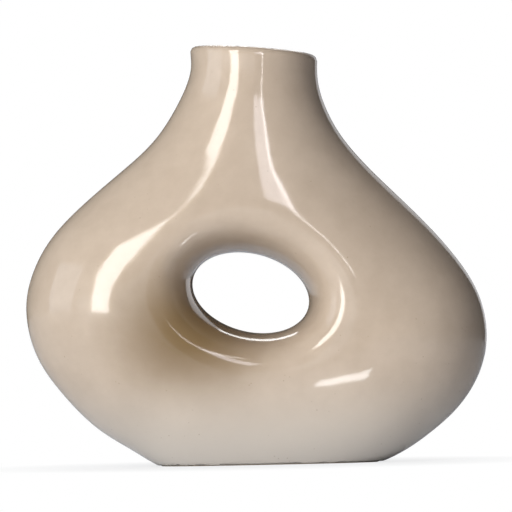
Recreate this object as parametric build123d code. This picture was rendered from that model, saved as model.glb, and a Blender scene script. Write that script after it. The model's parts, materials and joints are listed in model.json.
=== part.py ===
from build123d import *
import os

import numpy as np

# Donut vase: a hollow ring that stands on a flat foot, with a neck on its top.
# Millimetres, +Z up, X along the width, the front faces -Y, the foot rests on Z = 0.

# Overall sizes
BODY_WIDTH = 229.6
BODY_HEIGHT = 210.0
BODY_DEPTH = 92.0

# Neck: its middle, its slanting rim, the level of its joint with the ring and where it starts to flare
NECK_DIAMETER = 0.2753 * BODY_WIDTH
NECK_OFFSET = 0.0057 * BODY_WIDTH
RIM_HEIGHT = 0.984 * BODY_HEIGHT
RIM_SLANT = 5.2
COLLAR_LEVEL = 0.762 * BODY_HEIGHT
FLARE_FOOT = 0.5 * BODY_HEIGHT
LEFT_NECK_LEVEL = 0.943 * BODY_HEIGHT
RIGHT_NECK_LEVEL = 0.924 * BODY_HEIGHT
NECK_EASE = NECK_DIAMETER / 8

# Tunnel through the ring: a tilted oval that flares out to both faces
TUNNEL_LENGTH = 0.2587 * BODY_WIDTH
TUNNEL_HEIGHT = 0.1848 * BODY_HEIGHT
TUNNEL_TILT = 16.0
TUNNEL_OFFSET = -0.0113 * BODY_WIDTH
TUNNEL_LEVEL = 0.4081 * BODY_HEIGHT
TUNNEL_FLARE = 0.3 * BODY_DEPTH

# How far the rounding of the ring reaches in from the outline, and how full the roundings are: a
# power of 2 makes a round section and more than that a fuller one
EDGE_ROUNDING = 0.61 * BODY_DEPTH
EDGE_POWER = 2.0
TUNNEL_POWER = 3.5

# Clay, slip and glaze
WALL = 5.0
FOOT_THICKNESS = 7.0
SLIP = 0.8
GLAZE = 0.6
GLAZE_LINE = 1.2

# The sides of the outline from the neck down to the foot, as shares of half the width and of the
# height. The two sides differ: the vase is made by hand and its right side sits lower.
LEFT_SIDE = [
    (-0.327, 0.857),
    (-0.436, 0.771),
    (-0.592, 0.695),
    (-0.758, 0.619),
    (-0.897, 0.538),
    (-0.980, 0.448),
    (-1.000, 0.362),
    (-0.958, 0.267),
    (-0.854, 0.179),
    (-0.706, 0.095),
    (-0.549, 0.038),
]
RIGHT_SIDE = [
    (0.322, 0.843),
    (0.396, 0.769),
    (0.514, 0.693),
    (0.658, 0.614),
    (0.793, 0.536),
    (0.906, 0.457),
    (0.976, 0.381),
    (1.000, 0.295),
    (0.967, 0.210),
    (0.880, 0.133),
    (0.758, 0.072),
    (0.610, 0.019),
]

# The belly under the foot, as shares of the half foot and of its depth, from the middle outwards
FOOT_SINK = 8.0
LEFT_BELLY = [(0.36, 0.88), (0.72, 0.25)]
RIGHT_BELLY = [(0.36, 0.88), (0.72, 0.37)]

# How finely the surfaces are drawn
DOME_STATIONS = 5
OUTLINE_SAMPLES = 720
STATIONS_AROUND = 72
QUARTER_STEPS = 16


def smooth_loop(points, count):
    """A closed curve of even curvature through the points, as a row of samples."""
    points = np.array(points)
    size = len(points)
    unit = np.eye(size)
    blend = (4 * unit + np.roll(unit, 1, axis=0) + np.roll(unit, -1, axis=0)) / 6
    control = np.linalg.solve(blend, points)
    place = np.arange(count) * size / count
    span = place.astype(int)
    part = (place - span)[:, None]
    before, first, second, after = (control[(span + step) % size] for step in (-1, 0, 1, 2))
    rest = 1 - part
    start = 3 * part**3 - 6 * part**2 + 4
    finish = 3 * rest**3 - 6 * rest**2 + 4
    return (rest**3 * before + start * first + finish * second + part**3 * after) / 6


def offset_loop(loop, distance):
    """The loop moved to the left of its direction by the distance."""
    along = np.roll(loop, -1, axis=0) - np.roll(loop, 1, axis=0)
    along /= np.linalg.norm(along, axis=1)[:, None]
    return loop + distance * np.stack([-along[:, 1], along[:, 0]], axis=1)


def distance_to(loop, points):
    """The distance from each point to the nearest place on the loop."""
    ahead = np.roll(loop, -1, axis=0) - loop
    reach = points[:, None] - loop
    share = np.sum(reach * ahead, axis=2) / np.sum(ahead * ahead, axis=1)
    gap = reach - np.clip(share, 0, 1)[..., None] * ahead
    return np.sqrt(np.sum(gap * gap, axis=2).min(axis=1))


def spaced(loop, inset):
    """Stations evenly spaced along the loop, moved to its left by the inset."""
    steps = np.linalg.norm(np.roll(loop, -1, axis=0) - loop, axis=1)
    travelled = np.concatenate([[0], np.cumsum(steps)[:-1]])
    even = np.arange(STATIONS_AROUND) * steps.sum() / STATIONS_AROUND
    moved = offset_loop(loop, inset)
    columns = [np.interp(even, travelled, column, period=steps.sum()) for column in moved.T]
    return np.stack(columns, axis=1)


def ease(share):
    """A soft step from 0 to 1."""
    share = np.clip(share, 0, 1)
    return share * share * (3 - 2 * share)


def bulge(share, power):
    """The square of a quarter round's height, from 0 at its edge to 1 at its crown."""
    return 1 - (1 - np.clip(share, 0, 1)) ** power


# The outline runs anticlockwise from the middle of the foot. Above the rim it goes on as a dome and
# below the foot as a shallow belly, so that rim and foot are plain cuts through one smooth body.
neck_radius = NECK_DIAMETER / 2
half_width = BODY_WIDTH / 2
half_depth = BODY_DEPTH / 2
dome_level = RIM_HEIGHT + NECK_EASE
neck_top = RIM_HEIGHT - NECK_EASE
left_side = [(x * half_width, z * BODY_HEIGHT) for x, z in LEFT_SIDE]
right_side = [(x * half_width, z * BODY_HEIGHT) for x, z in RIGHT_SIDE]
left_belly = [(x * left_side[-1][0], -z * FOOT_SINK) for x, z in LEFT_BELLY]
right_belly = [(x * right_side[-1][0], -z * FOOT_SINK) for x, z in RIGHT_BELLY]
dome = [
    (NECK_OFFSET + neck_radius * np.cos(turn), dome_level + neck_radius * np.sin(turn))
    for turn in np.linspace(0, np.pi, DOME_STATIONS)
]
outline = smooth_loop(
    [
        (0, -FOOT_SINK),
        *right_belly,
        *reversed(right_side),
        (NECK_OFFSET + neck_radius, RIGHT_NECK_LEVEL),
        *dome,
        (NECK_OFFSET - neck_radius, LEFT_NECK_LEVEL),
        *left_side,
        *reversed(left_belly),
    ],
    OUTLINE_SAMPLES,
)

# The tunnel's oval, in the same direction
tilt = np.radians(-TUNNEL_TILT)
oval_axes = np.array([[np.cos(tilt), -np.sin(tilt)], [np.sin(tilt), np.cos(tilt)]])
oval_radii = np.array([TUNNEL_LENGTH / 2, TUNNEL_HEIGHT / 2])
oval_middle = np.array([TUNNEL_OFFSET, TUNNEL_LEVEL])


def oval_towards(places, inset):
    """The points that face the places on the tunnel's oval, widened by the inset."""
    turned = (places - oval_middle) @ oval_axes
    points = turned / np.linalg.norm(turned / oval_radii, axis=1)[:, None]
    outward = points / oval_radii**2
    outward /= np.linalg.norm(outward, axis=1)[:, None]
    return oval_middle + (points + inset * outward) @ oval_axes.T


tunnel = oval_towards(outline, 0)


def ring(step, inset):
    """A closed curve around the tunnel, at one step around the ring's own section.

    The steps count from the outline over the front crown, the tunnel and the back crown."""
    turn = np.pi / 2 * step / QUARTER_STEPS
    side = np.sign(np.sin(turn)) if step % (2 * QUARTER_STEPS) else 0
    far = spaced(outline, inset)
    near = oval_towards(spaced(outline, 0), inset)
    places = (far + near + (far - near) * np.cos(turn)) / 2
    slim = ease((neck_top - places[:, 1]) / (neck_top - FLARE_FOOT))
    deep = neck_radius + slim * (half_depth - neck_radius) - inset
    edge = neck_radius + slim * (EDGE_ROUNDING - neck_radius) - inset
    from_edge = bulge((distance_to(outline, places) - inset) / edge, EDGE_POWER)
    from_tunnel = bulge((distance_to(tunnel, places) - inset) / (TUNNEL_FLARE - inset), TUNNEL_POWER)
    y = -side * deep * np.sqrt(from_edge * from_tunnel)
    points = list(zip(places[:, 0], y, places[:, 1]))
    knots = list(np.linspace(0, 1, STATIONS_AROUND + 1))
    return Wire([Edge.make_spline(points, periodic=True, parameters=knots)])


def body(inset):
    """The whole smooth ring with neck, drawn in by the inset on all sides."""
    skins = []
    for first in range(0, 4 * QUARTER_STEPS, QUARTER_STEPS):
        rings = [ring(first + step, inset) for step in range(QUARTER_STEPS + 1)]
        skins += Shell.make_loft(rings).faces()
    return Solid(Shell(skins))


def above(level):
    """Everything higher than the level."""
    return Pos(0, 0, level) * Box(ROOM, ROOM, ROOM, align=(Align.CENTER, Align.CENTER, Align.MIN))


def below(level):
    """Everything lower than the level."""
    return Pos(0, 0, level) * Box(ROOM, ROOM, ROOM, align=(Align.CENTER, Align.CENTER, Align.MAX))


def below_rim(drop):
    """Everything under the slanting rim when the rim is lowered by the drop."""
    lean = np.radians(RIM_SLANT)
    rim = Plane((NECK_OFFSET, 0, RIM_HEIGHT), z_dir=(np.sin(lean), 0, np.cos(lean)))
    block = Box(ROOM, ROOM, ROOM, align=(Align.CENTER, Align.CENTER, Align.MAX))
    return rim * Pos(0, 0, -drop) * block


ROOM = 2 * (BODY_WIDTH + BODY_HEIGHT + BODY_DEPTH)

# The clay: a body with a hollow in it that is open at the rim
clay_body = body(GLAZE) & below_rim(GLAZE) & above(0)
hollow = body(GLAZE + WALL) & above(FOOT_THICKNESS)
clay_vase = clay_body - hollow

# The glaze: one coat outside and over the rim, and one inside
glazed_body = body(0) & below_rim(0) & above(GLAZE_LINE)
outer_glaze = glazed_body - clay_body - hollow
space = body(2 * GLAZE + WALL) & above(FOOT_THICKNESS + GLAZE)
liner_glaze = (hollow & below_rim(0)) - space

# The clay falls into a slab, a collar and the walls between them, with slip in the joints
foot_slab = clay_vase & below(FOOT_THICKNESS)
foot_slip = clay_vase & above(FOOT_THICKNESS) & below(FOOT_THICKNESS + SLIP)
walls = clay_vase & above(FOOT_THICKNESS + SLIP) & below(COLLAR_LEVEL)
collar_slip = clay_vase & above(COLLAR_LEVEL) & below(COLLAR_LEVEL + SLIP)
neck_collar = clay_vase & above(COLLAR_LEVEL + SLIP)

# The walls are two shells with slip between them
front = Pos(0, -SLIP / 2, 0) * Box(ROOM, ROOM, ROOM, align=(Align.CENTER, Align.MAX, Align.CENTER))
back = Pos(0, SLIP / 2, 0) * Box(ROOM, ROOM, ROOM, align=(Align.CENTER, Align.MIN, Align.CENTER))
front_shell = walls & front
back_shell = walls & back
seams = (walls - front - back).solids().sort_by(Axis.X)

nodes = {
    "front_shell": front_shell,
    "back_shell": back_shell,
    "neck_collar": neck_collar,
    "foot_slab": foot_slab,
    "left_seam_slip": seams[0],
    "hole_seam_slip": seams[1],
    "right_seam_slip": seams[2],
    "collar_slip": collar_slip,
    "foot_slip": foot_slip,
    "outer_glaze": outer_glaze,
    "liner_glaze": liner_glaze,
}
os.makedirs("parts", exist_ok=True)
for name, node in nodes.items():
    export_step(node, f"parts/{name}.step")
    print(name, len(node.solids()), node.is_valid, round(node.volume))
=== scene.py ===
import json
import math

import bmesh
import bpy
import numpy as np
from mathutils import Matrix, Vector

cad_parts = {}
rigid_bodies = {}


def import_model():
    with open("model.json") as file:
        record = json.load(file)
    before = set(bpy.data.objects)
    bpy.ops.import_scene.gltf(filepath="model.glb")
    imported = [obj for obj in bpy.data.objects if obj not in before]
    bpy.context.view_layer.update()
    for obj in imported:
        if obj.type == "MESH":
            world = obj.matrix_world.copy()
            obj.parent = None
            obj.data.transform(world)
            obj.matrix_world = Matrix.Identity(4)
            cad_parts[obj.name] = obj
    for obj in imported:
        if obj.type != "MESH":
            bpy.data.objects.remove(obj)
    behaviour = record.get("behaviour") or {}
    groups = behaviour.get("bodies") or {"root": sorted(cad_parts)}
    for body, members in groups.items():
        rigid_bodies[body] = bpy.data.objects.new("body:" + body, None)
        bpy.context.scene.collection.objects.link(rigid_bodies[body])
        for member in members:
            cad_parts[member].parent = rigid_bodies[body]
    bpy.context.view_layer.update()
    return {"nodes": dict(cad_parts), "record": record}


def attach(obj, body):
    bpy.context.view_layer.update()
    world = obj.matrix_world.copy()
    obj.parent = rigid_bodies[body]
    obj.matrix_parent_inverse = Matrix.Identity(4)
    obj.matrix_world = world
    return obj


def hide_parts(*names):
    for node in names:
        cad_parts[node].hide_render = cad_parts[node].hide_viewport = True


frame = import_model()
scene = bpy.context.scene
print("frame loaded:", len(frame["nodes"]), "nodes")


# shader maths: a Value is a socket that takes part in Python expressions
class Value:
    def __init__(self, nodes, socket):
        self.nodes = nodes
        self.socket = socket

    def maths(self, operation, first, second):
        return self.nodes.add("ShaderNodeMath", {"operation": operation}, {0: first, 1: second})

    def __add__(self, other):
        return self.maths("ADD", self, other)

    def __radd__(self, other):
        return self.maths("ADD", other, self)

    def __sub__(self, other):
        return self.maths("SUBTRACT", self, other)

    def __rsub__(self, other):
        return self.maths("SUBTRACT", other, self)

    def __mul__(self, other):
        return self.maths("MULTIPLY", self, other)

    def __rmul__(self, other):
        return self.maths("MULTIPLY", other, self)


# the nodes of a material or of the world: add() makes any node, its settings first and then its sockets
class Nodes:
    def __init__(self, owner):
        owner.use_nodes = True
        self.tree = owner.node_tree

    def fill(self, socket, value):
        if isinstance(value, Value):
            self.tree.links.new(value.socket, socket)
        else:
            socket.default_value = value

    def add(self, kind, settings=None, sockets=None, output=0):
        node = self.tree.nodes.new(kind)
        for key, value in (settings or {}).items():
            if key == "stops":
                for stop, (position, shade) in zip(node.color_ramp.elements, value):
                    stop.position = position
                    stop.color = (shade, shade, shade, 1)
            else:
                setattr(node, key, value)
        for key, value in (sockets or {}).items():
            self.fill(node.inputs[key], value)
        return Value(self, node.outputs[output])

    def seenByCamera(self):
        return self.add("ShaderNodeLightPath", output="Is Camera Ray")

    def blend(self, share, first, second):  # two shaders
        return self.add("ShaderNodeMixShader", None, {0: share, 1: first, 2: second})

    def show(self, outputName, shader):
        self.fill(self.tree.nodes[outputName].inputs["Surface"], shader)


# one material: setting() fills the shader's own sockets
class Paint(Nodes):
    def __init__(self, name):
        self.material = bpy.data.materials.new(name)
        super().__init__(self.material)
        self.shader = self.tree.nodes["Principled BSDF"]
        self.place = self.add("ShaderNodeTexCoord", output="Object")

    def noise(self, size, detail, roughness=0.5):
        sockets = {"Vector": self.place, "Scale": 1 / size, "Detail": detail, "Roughness": roughness}
        return self.add("ShaderNodeTexNoise", None, sockets)

    def spots(self, size):
        return self.add("ShaderNodeTexVoronoi", None, {"Vector": self.place, "Scale": 1 / size})

    def vector(self, operation, first, second=None, output="Vector"):
        sockets = {0: first} if second is None else {0: first, 1: second}
        return self.add("ShaderNodeVectorMath", {"operation": operation}, sockets, output)

    def length(self, vector):
        return self.vector("LENGTH", vector, output="Value")

    def ramp(self, value, low, high):
        return self.add("ShaderNodeValToRGB", {"stops": [(low, 0), (high, 1)]}, {"Fac": value})

    def soft(self, value, low, high):
        sockets = {"Value": value, "From Min": low, "From Max": high}
        return self.add("ShaderNodeMapRange", {"interpolation_type": "SMOOTHSTEP"}, sockets)

    def mix(self, share, first, second):  # two colours
        return self.add("ShaderNodeMix", {"data_type": "RGBA"}, {0: share, 6: first, 7: second}, output=2)

    def bump(self, height, depth, under=None):
        sockets = {"Height": height, "Strength": 1.0, "Distance": depth}
        if under:
            sockets["Normal"] = under
        return self.add("ShaderNodeBump", None, sockets)

    def setting(self, sockets):
        for name, value in sockets.items():
            self.fill(self.shader.inputs[name], value)


# the vase's form, in metres
vase = {
    "width": 0.2296,
    "height": 0.210,
    "depth": 0.092,
    "neckDiameter": 0.06321,
    "neckOffset": 0.00131,
    "neckEase": 0.25,  # straight neck above and below the rim, as a share of its radius
    "rimHeight": 0.20664,
    "rimSlant": 5.2,
    "lipRounding": 0.003,
    "flareFoot": 0.105,  # the neck has become the ring here
    "collarFoot": 0.1608,
    "tunnelLength": 0.0594,
    "tunnelHeight": 0.03881,
    "tunnelTilt": 16.0,
    "tunnelOffset": -0.0026,
    "tunnelLevel": 0.0857,
    "tunnelFlare": 0.0276,
    "tunnelPower": 3.5,  # 2 makes a round section, more a fuller one
    "edgeRounding": 0.05612,
    "edgePower": 2.0,
    "clayDepth": 0.0006,  # clay starts under the glaze
    "clayWall": 0.005,
    "insideFloor": 0.0076,
    "insideRounding": 0.004,
    "glazeLine": 0.0005,  # bare clay below it
    "coat": 0.0005,
    # the sides from the neck down, as shares of half the width and of the height
    "leftNeckLevel": 0.943,
    "rightNeckLevel": 0.924,
    "leftSide": [
        (-0.327, 0.857), (-0.436, 0.771), (-0.592, 0.695), (-0.758, 0.619), (-0.897, 0.538), (-0.980, 0.448),
        (-1.000, 0.362), (-0.958, 0.267), (-0.854, 0.179), (-0.706, 0.095), (-0.549, 0.038),
    ],
    "rightSide": [
        (0.322, 0.843), (0.396, 0.769), (0.514, 0.693), (0.658, 0.614), (0.793, 0.536), (0.906, 0.457),
        (0.976, 0.381), (1.000, 0.295), (0.967, 0.210), (0.880, 0.133), (0.758, 0.072), (0.610, 0.019),
    ],
    # the belly that the foot cuts off, as shares of the half foot and of the belly's depth
    "footSink": 0.008,
    "leftBelly": [(0.36, 0.88), (0.72, 0.25)],
    "rightBelly": [(0.36, 0.88), (0.72, 0.37)],
}

# how finely it is drawn
drawing = {
    "cell": 0.002,
    "outlinePoints": 480,
    "tunnelPoints": 240,
    "mapStep": 0.001,
    "mapMargin": 0.02,
    "batch": 2000,  # points at a time
    "slopeReach": 2e-5,
    "leastSlope": 0.05,  # squared
    "leastMove": 1e-9,
    "settleRounds": 4,
    "relaxRounds": 4,
    "lastRounds": 3,
}


def smoothLoop(points, count):  # closed curve of even curvature through the points
    points = np.array(points)
    size = len(points)
    unit = np.eye(size)
    blend = (4 * unit + np.roll(unit, 1, axis=0) + np.roll(unit, -1, axis=0)) / 6
    control = np.linalg.solve(blend, points)
    place = np.arange(count) * size / count
    span = place.astype(int)
    part = (place - span)[:, None]
    rest = 1 - part
    before, first, second, after = (control[(span + step) % size] for step in (-1, 0, 1, 2))
    start = 3 * part**3 - 6 * part**2 + 4
    finish = 3 * rest**3 - 6 * rest**2 + 4
    return (rest**3 * before + start * first + finish * second + part**3 * after) / 6


def vaseOutline(form):  # anticlockwise from the foot; a dome above the rim and a belly under the foot
    neckRadius = form["neckDiameter"] / 2
    neckLeft = form["neckOffset"] - neckRadius
    neckRight = form["neckOffset"] + neckRadius
    domeLevel = form["rimHeight"] + neckRadius * form["neckEase"]
    leftSide = [(x * form["width"] / 2, z * form["height"]) for x, z in form["leftSide"]]
    rightSide = [(x * form["width"] / 2, z * form["height"]) for x, z in form["rightSide"]]
    leftBelly = [(x * leftSide[-1][0], -z * form["footSink"]) for x, z in form["leftBelly"]]
    rightBelly = [(x * rightSide[-1][0], -z * form["footSink"]) for x, z in form["rightBelly"]]
    dome = [
        (form["neckOffset"] + neckRadius * math.cos(turn), domeLevel + neckRadius * math.sin(turn))
        for turn in np.radians([0, 45, 90, 135, 180])
    ]
    points = [(0, -form["footSink"])]
    points += rightBelly
    points += reversed(rightSide)
    points += [(neckRight, form["rightNeckLevel"] * form["height"])]
    points += dome
    points += [(neckLeft, form["leftNeckLevel"] * form["height"])]
    points += leftSide
    points += reversed(leftBelly)
    return smoothLoop(points, drawing["outlinePoints"])


def tunnelOutline(form):  # a tilted oval
    turns = np.linspace(0, 2 * np.pi, drawing["tunnelPoints"], endpoint=False)
    tilt = math.radians(-form["tunnelTilt"])
    longWay = form["tunnelLength"] / 2 * np.cos(turns)
    shortWay = form["tunnelHeight"] / 2 * np.sin(turns)
    x = form["tunnelOffset"] + longWay * math.cos(tilt) - shortWay * math.sin(tilt)
    z = form["tunnelLevel"] + longWay * math.sin(tilt) + shortWay * math.cos(tilt)
    return np.stack([x, z], axis=1)


def distanceInside(loop, points):  # from each point to the loop, positive on its left
    ahead = np.roll(loop, -1, axis=0) - loop
    result = []
    for some in np.array_split(points, len(points) // drawing["batch"] + 1):
        reach = some[:, None] - loop
        share = np.clip(np.sum(reach * ahead, axis=2) / np.sum(ahead * ahead, axis=1), 0, 1)
        gap = np.sum((reach - share[..., None] * ahead) ** 2, axis=2)
        nearest = gap.argmin(axis=1)
        row = np.arange(len(some))
        side = ahead[nearest, 0] * reach[row, nearest, 1] - ahead[nearest, 1] * reach[row, nearest, 0]
        result.append(np.sign(side) * np.sqrt(gap[row, nearest]))
    return np.concatenate(result)


class DistanceMap:  # distances to a loop on an even grid, read between its points by a cubic
    def __init__(self, loop, low, high):
        self.low = np.array(low)
        self.step = drawing["mapStep"]
        counts = np.ceil((np.array(high) - self.low) / self.step).astype(int) + 1
        x, z = (self.low[axis] + self.step * np.arange(counts[axis]) for axis in (0, 1))
        places = np.stack(np.meshgrid(x, z, indexing="ij"), axis=-1).reshape(-1, 2)
        self.grid = distanceInside(loop, places).reshape(counts)

    def weights(self, place, axis):
        place = np.clip((place - self.low[axis]) / self.step, 1, self.grid.shape[axis] - 3)
        span = place.astype(int)
        f = place - span
        parts = (
            f * (-1 + f * (2 - f)) / 2,
            1 + f * f * (3 * f - 5) / 2,
            f * (1 + f * (4 - 3 * f)) / 2,
            f * f * (f - 1) / 2,
        )
        return span, parts

    def read(self, x, z):
        column, across = self.weights(x, 0)
        row, up = self.weights(z, 1)
        total = 0
        for i in range(4):
            for k in range(4):
                total = total + across[i] * up[k] * self.grid[column + i - 1, row + k - 1]
        return total


def ease(share):
    share = np.clip(share, 0, 1)
    return share * share * (3 - 2 * share)


def bulge(share, power):  # a quarter round's height squared, below zero outside its edge
    return 1 - (1 - np.minimum(share, 1)) ** power


def roundCorner(first, second, radius):  # the higher of two fields, with the corner between them rounded
    both = np.hypot(np.maximum(first + radius, 0), np.maximum(second + radius, 0)) - radius
    return np.where((first > -radius) & (second > -radius), both, np.maximum(first, second))


class VaseForm:  # below zero in the vase's wall, zero on its surface
    def __init__(self, form):
        self.form = form
        margin = drawing["mapMargin"]
        low = (-form["width"] / 2 - margin, -form["footSink"] - margin)
        high = (form["width"] / 2 + margin, form["rimHeight"] + form["neckDiameter"])
        self.edgeMap = DistanceMap(vaseOutline(form), low, high)
        self.tunnelMap = DistanceMap(tunnelOutline(form)[::-1], low, high)
        self.lean = math.radians(form["rimSlant"])

    def layer(self, x, y, z, inset):  # the smooth ring with neck, drawn in by the inset
        form = self.form
        neckRadius = form["neckDiameter"] / 2
        neckTop = form["rimHeight"] - neckRadius * form["neckEase"]
        slim = ease((neckTop - z) / (neckTop - form["flareFoot"]))
        deep = neckRadius + slim * (form["depth"] / 2 - neckRadius) - inset
        edge = neckRadius + slim * (form["edgeRounding"] - neckRadius) - inset
        fromEdge = bulge((self.edgeMap.read(x, z) - inset) / edge, form["edgePower"])
        flare = (self.tunnelMap.read(x, z) - inset) / (form["tunnelFlare"] - inset)
        fromTunnel = bulge(flare, form["tunnelPower"])
        return (y * y - deep * deep * fromEdge * fromTunnel) / (2 * deep)

    def between(self, x, y, z, outer, inner):  # from one inset to another, with a round lip
        form = self.form
        hollow = self.layer(x, y, z, inner)
        hollow = roundCorner(hollow, form["insideFloor"] - z, form["insideRounding"])
        wall = np.maximum(self.layer(x, y, z, outer), -hollow)
        rim = (x - form["neckOffset"]) * math.sin(self.lean) + (z - form["rimHeight"]) * math.cos(self.lean)
        return roundCorner(wall, rim + outer, form["lipRounding"] - outer)

    def glazed(self, x, y, z):  # the clay with glaze on both sides
        form = self.form
        return self.between(x, y, z, 0, form["clayWall"] + 2 * form["clayDepth"])

    def collar(self, x, y, z):  # the clay of the neck alone
        form = self.form
        depth = form["clayDepth"]
        return np.maximum(self.between(x, y, z, depth, depth + form["clayWall"]), form["collarFoot"] - z)


def settle(field, points, rounds):  # move the points onto the surface
    reach = drawing["slopeReach"]
    for _ in range(rounds):
        value = field(*points.T)
        slope = np.empty_like(points)
        for axis in range(3):
            step = np.zeros(3)
            step[axis] = reach
            ahead = field(*(points + step).T)
            behind = field(*(points - step).T)
            slope[:, axis] = (ahead - behind) / (2 * reach)
        size = np.maximum(np.sum(slope * slope, axis=1), drawing["leastSlope"])
        move = -(value / size)[:, None] * slope
        length = np.maximum(np.linalg.norm(move, axis=1), drawing["leastMove"])
        points = points + move * np.minimum(1, drawing["cell"] / length)[:, None]
    return points


# one point in each cell that the surface crosses, four cells to a face
def surfaceNet(field, low, high):
    cell = drawing["cell"]
    counts = np.ceil((np.array(high) - low) / cell).astype(int) + 1
    axes = [low[axis] + cell * np.arange(counts[axis]) for axis in range(3)]
    x, z = np.meshgrid(axes[0], axes[2], indexing="ij")
    values = np.stack([field(x, y, z) for y in axes[1]], axis=1)
    inside = values < 0
    total = np.zeros([size - 1 for size in values.shape], int)
    for corner in np.ndindex(2, 2, 2):
        total += inside[tuple(slice(c, c + s) for c, s in zip(corner, total.shape))]
    cells = np.argwhere((total > 0) & (total < 8))
    number = np.full(total.shape, -1)
    number[tuple(cells.T)] = np.arange(len(cells))
    crossings = np.zeros((len(cells), 3))
    weight = np.zeros(len(cells))
    for axis in range(3):
        for offset in np.ndindex(2, 2):
            start = np.insert(np.array(offset), axis, 0)
            finish = start.copy()
            finish[axis] = 1
            first = values[tuple((cells + start).T)]
            second = values[tuple((cells + finish).T)]
            crossed = (first < 0) != (second < 0)
            share = np.where(crossed, first / np.where(crossed, first - second, 1), 0)
            place = cells + start + share[:, None] * (finish - start)
            crossings += place * crossed[:, None]
            weight += crossed
    points = np.array(low) + cell * crossings / weight[:, None]
    faces = []
    for axis in range(3):
        lower = np.moveaxis(inside, axis, 0)[:-1]
        upper = np.moveaxis(inside, axis, 0)[1:]
        ids = np.moveaxis(number, axis, 0)
        for rising in (True, False):
            spots = np.argwhere((lower & ~upper) if rising else (~lower & upper))
            spots = spots[(spots[:, 1:] > 0).all(axis=1)]
            spots = spots[(spots[:, 1] < ids.shape[1]) & (spots[:, 2] < ids.shape[2])]
            i, j, k = spots.T
            quad = [ids[i, j - 1, k - 1], ids[i, j, k - 1], ids[i, j, k], ids[i, j - 1, k]]
            quad = quad if rising == (axis != 1) else quad[::-1]
            faces.append(np.stack(quad, axis=1))
    faces = np.concatenate(faces)
    return points, faces[(faces >= 0).all(axis=1)]


def relax(field, points, faces):  # even out the faces, keeping to the surface
    pairs = np.concatenate([faces[:, [side, (side + 1) % 4]] for side in range(4)])
    pairs = np.concatenate([pairs, pairs[:, ::-1]])
    amount = np.bincount(pairs[:, 0], minlength=len(points))
    for _ in range(drawing["relaxRounds"]):
        middle = [np.bincount(pairs[:, 0], points[pairs[:, 1], axis], len(points)) for axis in range(3)]
        middle = np.stack(middle, axis=1) / amount[:, None]
        points = settle(field, (points + middle) / 2, 1)
    return settle(field, points, drawing["lastRounds"])


def netMesh(name, field, low, high):
    points, faces = surfaceNet(field, low, high)
    points = settle(field, points, drawing["settleRounds"])
    points = relax(field, points, faces)
    mesh = bpy.data.meshes.new(name)
    mesh.from_pydata(points.tolist(), [], faces.tolist())
    return mesh


def addPiece(mesh, slotName, *nodes):
    mesh.shade_smooth()
    piece = bpy.data.objects.new(mesh.name, mesh)
    scene.collection.objects.link(piece)
    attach(piece, "root")
    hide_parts(*nodes)
    print(mesh.name + ":", len(mesh.polygons), "faces")
    return piece


def glazeCoat(shape):  # outside, lip and inside in one skin, open under the foot
    form = shape.form
    margin = 2 * drawing["cell"]
    low = (-form["width"] / 2 - margin, -form["depth"] / 2 - margin, -form["footSink"] / 2)
    high = (form["width"] / 2 + margin, form["depth"] / 2 + margin, form["height"] + margin)
    mesh = netMesh("glaze_coat", shape.glazed, low, high)
    skin = bmesh.new()
    skin.from_mesh(mesh)
    geometry = skin.verts[:] + skin.edges[:] + skin.faces[:]
    cut = Vector((0, 0, form["glazeLine"]))
    bmesh.ops.bisect_plane(skin, geom=geometry, plane_co=cut, plane_no=(0, 0, 1), clear_inner=True)
    bmesh.ops.recalc_face_normals(skin, faces=skin.faces[:])
    skin.to_mesh(mesh)
    skin.free()
    coat = addPiece(mesh, "glaze", "outer_glaze", "liner_glaze")
    thick = coat.modifiers.new("thickness", "SOLIDIFY")
    thick.thickness = form["coat"]
    thick.offset = -1
    return coat


def clayCollar(shape):  # the clay under the round lip
    form = shape.form
    margin = 2 * drawing["cell"]
    low = (-form["width"] / 4, -form["depth"] / 2, form["collarFoot"] - margin)
    high = (form["width"] / 4, form["depth"] / 2, form["height"] + margin)
    return addPiece(netMesh("clay_collar", shape.collar, low, high), "stoneware", "neck_collar")


# glaze: cloudy beige with rare specks, with painted shade darker beside the tunnel and painted bounce light
# paler at the foot
glaze = {
    "colour": (0.600, 0.498, 0.398, 1),
    "shade": (0.525, 0.428, 0.335, 1),
    "cloudSize": 0.045,
    "cloudShare": 0.6,
    "mottleSize": 0.009,
    "toneRange": (0.35, 0.65),
    # painted shade: a dark brown laid round the tunnel, deepest to its lower left, standing in for the
    # shadow in the tunnel's flare
    "paintedShade": (0.21, 0.135, 0.055, 1),
    "paintedShadePlace": (-0.032, 0.0, 0.067),
    "paintedShadeReach": (0.056, 1.0, 0.046),
    "paintedShadeRange": (0.1, 1.0),
    "paintedShadeStrength": 0.92,
    # painted light: a paler, greyer glaze colour at the foot, standing in for light bounced up from the
    # floor
    "pale": (0.68, 0.625, 0.555, 1),
    "paintedBounceReach": 0.05,  # up from the foot
    "speck": (0.30, 0.21, 0.14, 1),
    "speckSize": 0.0035,
    "speckRange": (0.05, 0.13),
    "speckStrength": 0.5,
    "patchSize": 0.0105,  # specks show in some patches only
    "patchRange": (0.55, 0.68),
    "waveSize": 0.03,
    "waveDepth": 0.0005,
    "peelSize": 0.0025,
    "peelDepth": 0.000012,
    "roughness": 0.07,
    "roughnessSpread": 0.05,
    "refraction": 1.52,
}


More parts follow.
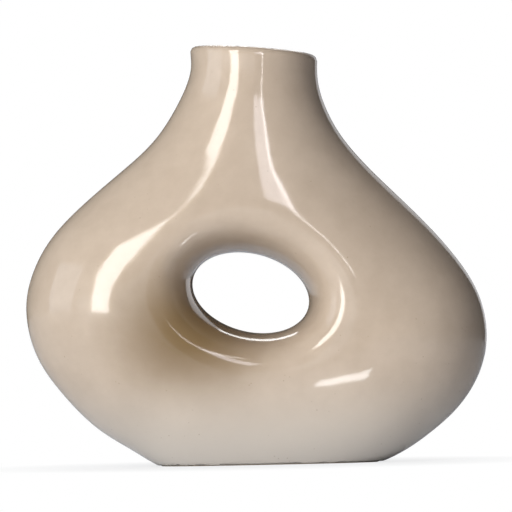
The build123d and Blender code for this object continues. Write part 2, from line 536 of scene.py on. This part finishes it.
def glazePaint(look):
    paint = Paint("beige_glaze")
    cloud = paint.noise(look["cloudSize"], detail=3.0)
    mottle = paint.noise(look["mottleSize"], detail=4.0, roughness=0.6)
    tone = paint.ramp(cloud * look["cloudShare"] + mottle * (1 - look["cloudShare"]), *look["toneRange"])
    colour = paint.mix(tone, look["shade"], look["colour"])
    # painted shade: darkens the glaze in an oval round the tunnel, most to its lower left
    reach = paint.vector("SUBTRACT", paint.place, look["paintedShadePlace"])
    reach = paint.vector("DIVIDE", reach, look["paintedShadeReach"])
    paintedShadeMask = 1 - paint.soft(paint.length(reach), *look["paintedShadeRange"])
    colour = paint.mix(paintedShadeMask * look["paintedShadeStrength"], colour, look["paintedShade"])
    level = paint.add("ShaderNodeSeparateXYZ", None, {0: paint.place}, output="Z")
    # painted light: the glaze turns pale towards the foot, as if lit from the floor below
    colour = paint.mix(1 - paint.soft(level, 0, look["paintedBounceReach"]), colour, look["pale"])
    speck = 1 - paint.ramp(paint.spots(look["speckSize"]), *look["speckRange"])
    patch = paint.ramp(paint.noise(look["patchSize"], detail=1.0), *look["patchRange"])
    colour = paint.mix(speck * patch * look["speckStrength"], colour, look["speck"])
    wave = paint.bump(paint.noise(look["waveSize"], detail=1.0), look["waveDepth"])
    peel = paint.bump(paint.noise(look["peelSize"], detail=1.0), look["peelDepth"], under=wave)
    paint.setting({
        "Base Color": colour,
        "Roughness": look["roughness"] + look["roughnessSpread"] * mottle,
        "Normal": peel,
        "IOR": look["refraction"],
    })
    return paint.material


# bare clay and slip: grainy, with darker grog in it
clay = {
    "stoneware": (0.60, 0.49, 0.37, 1),
    "slip": (0.52, 0.42, 0.31, 1),
    "darkShare": 0.8,
    "grainSize": 0.0012,
    "grainDepth": 0.0001,
    "grog": (0.33, 0.24, 0.16, 1),
    "grogSize": 0.003,
    "grogRange": (0.08, 0.2),
    "grogStrength": 0.5,
    "roughness": 0.85,
    "roughnessSpread": 0.1,
}


def clayPaint(look, tone):
    paint = Paint("bare_" + tone)
    grain = paint.noise(look["grainSize"], detail=3.0, roughness=0.7)
    grog = 1 - paint.ramp(paint.spots(look["grogSize"]), *look["grogRange"])
    dark = tuple(look["darkShare"] * shade for shade in look[tone][:3]) + (1,)
    colour = paint.mix(grain, dark, look[tone])
    colour = paint.mix(grog * look["grogStrength"], colour, look["grog"])
    paint.setting({
        "Base Color": colour,
        "Roughness": look["roughness"] - look["roughnessSpread"] * grain,
        "Normal": paint.bump(grain, look["grainDepth"]),
    })
    return paint.material


def dress(piece, material):
    piece.data.materials.clear()
    piece.data.materials.append(material)


vaseForm = VaseForm(vase)
dress(glazeCoat(vaseForm), glazePaint(glaze))
stonewareFinish = clayPaint(clay, "stoneware")
dress(clayCollar(vaseForm), stonewareFinish)
slipFinish = clayPaint(clay, "slip")
for row in frame["record"]["subparts"]:
    if row["material_slot"] != "glaze":
        finish = slipFinish if row["material_slot"] == "slip" else stonewareFinish
        dress(bpy.data.objects[row["node"]], finish)
print("finishes done")


studio = {
    "floorSize": 8.0,
    "floorColour": (0.74, 0.78, 0.85, 1),
    "floorRoughness": 0.9,
    "floorGloss": 0.1,
    "backdrop": (1.0, 1.0, 1.0, 1),
    "ambient": (0.035, 0.035, 0.035, 1),
    "shadow": 0.4,  # strength of the shadow that shows under the vase
    "shadowReach": 0.16,
    "lampAim": (0, 0, 0.1),
}

# each lamp: degrees round from the front, distance, level, width, height, brightness, colour
lamps = {
    "window": (-34, 1.5, 0.55, 0.40, 1.15, 9.8, (1.0, 1.0, 1.0)),
    "window_frame": (-34, 1.53, 0.55, 0.56, 1.25, 1.6, (1.0, 0.80, 0.50)),
    "side_window": (-77, 1.6, 0.5, 0.95, 1.0, 1.6, (0.84, 0.90, 1.0)),
    "soft_fill": (-55, 2.4, 0.5, 2.0, 1.0, 0.3, (1.0, 1.0, 1.0)),
    "low_fill": (-28, 1.4, 0.22, 1.5, 0.4, 0.85, (0.90, 0.95, 1.0)),
    "slim_lamp": (15, 0.5, 0.40, 0.022, 0.40, 9.0, (1.0, 0.94, 0.92)),
    "slim_lamp_head": (10, 0.5, 0.40, 0.13, 0.12, 6.0, (0.98, 0.94, 1.0)),
    "table_glint": (21, 0.165, 0.004, 0.05, 0.02, 10.0, (1.0, 1.0, 1.0)),
    "rear_right": (157, 1.4, 0.5, 0.4, 1.0, 0.8, (0.97, 0.97, 1.0)),
    "back_light": (180, 1.6, 1.6, 1.2, 1.0, 4.0, (1.0, 1.0, 1.0)),
}


def areaLight(name, azimuth, distance, level, width, height, brightness, colour):
    lamp = bpy.data.lights.new(name, "AREA")
    lamp.shape = "RECTANGLE"
    lamp.size = width
    lamp.size_y = height
    lamp.energy = brightness * math.pi * width * height
    lamp.color = colour
    holder = bpy.data.objects.new(name, lamp)
    holder.visible_camera = False
    scene.collection.objects.link(holder)
    turn = math.radians(azimuth)
    place = Vector((distance * math.sin(turn), -distance * math.cos(turn), level))
    holder.location = place
    holder.rotation_euler = (Vector(studio["lampAim"]) - place).to_track_quat("-Z", "Y").to_euler()


def studioFloor(look):  # pale for the vase; for the camera as white as the backdrop, but for the shadow
    size = look["floorSize"]
    mesh = bpy.data.meshes.new("floor")
    corners = [(-size, -size, 0), (size, -size, 0), (size, size, 0), (-size, size, 0)]
    mesh.from_pydata(corners, [], [(0, 1, 2, 3)])
    floor = bpy.data.objects.new("floor", mesh)
    scene.collection.objects.link(floor)
    paint = Paint("pale_floor")
    paint.setting({
        "Base Color": look["floorColour"],
        "Roughness": look["floorRoughness"],
        "Specular IOR Level": look["floorGloss"],
    })
    near = 1 - paint.ramp(paint.length(paint.place), 0, look["shadowReach"])
    white = paint.add("ShaderNodeEmission", None, {"Color": look["backdrop"]})
    pale = Value(paint, paint.shader.outputs[0])
    share = paint.seenByCamera() * (1 - near * look["shadow"])
    paint.show("Material Output", paint.blend(share, pale, white))
    dress(floor, paint.material)


def studioAir(look):  # a white backdrop for the camera, softer light for the vase
    scene.world = bpy.data.worlds.new("studio")
    air = Nodes(scene.world)
    seen = air.add("ShaderNodeBackground", None, {"Color": look["backdrop"]})
    felt = air.add("ShaderNodeBackground", None, {"Color": look["ambient"]})
    air.show("World Output", air.blend(air.seenByCamera(), felt, seen))


studioFloor(studio)
studioAir(studio)
for name, values in lamps.items():
    areaLight(name, *values)
scene.view_settings.view_transform = "Standard"
print("studio done")


# camera: far off and low, turned a little about its own line of sight
view = {
    "distance": 2.2,
    "level": 0.040,
    "aim": (0.0004, 0.0, 0.104),
    "span": 0.256,  # width of the picture at the vase
    "roll": 1.19,
    "sensor": 36.0,
    "farthest": 50,
}


def addCamera(look):
    data = bpy.data.cameras.new("camera")
    holder = bpy.data.objects.new("camera", data)
    scene.collection.objects.link(holder)
    aim = Vector(look["aim"])
    place = Vector((aim.x, -look["distance"], look["level"]))
    roll = math.radians(look["roll"])
    back = (place - aim).normalized()
    up = Vector((math.sin(roll), 0, math.cos(roll)))
    right = up.cross(back).normalized()
    up = back.cross(right)
    turn = Matrix((right, up, back)).transposed()
    holder.matrix_world = Matrix.Translation(place) @ turn.to_4x4()
    data.sensor_width = look["sensor"]
    data.lens = look["sensor"] * (place - aim).length / look["span"]
    data.clip_end = look["farthest"]
    scene.camera = holder


addCamera(view)
print("camera done")
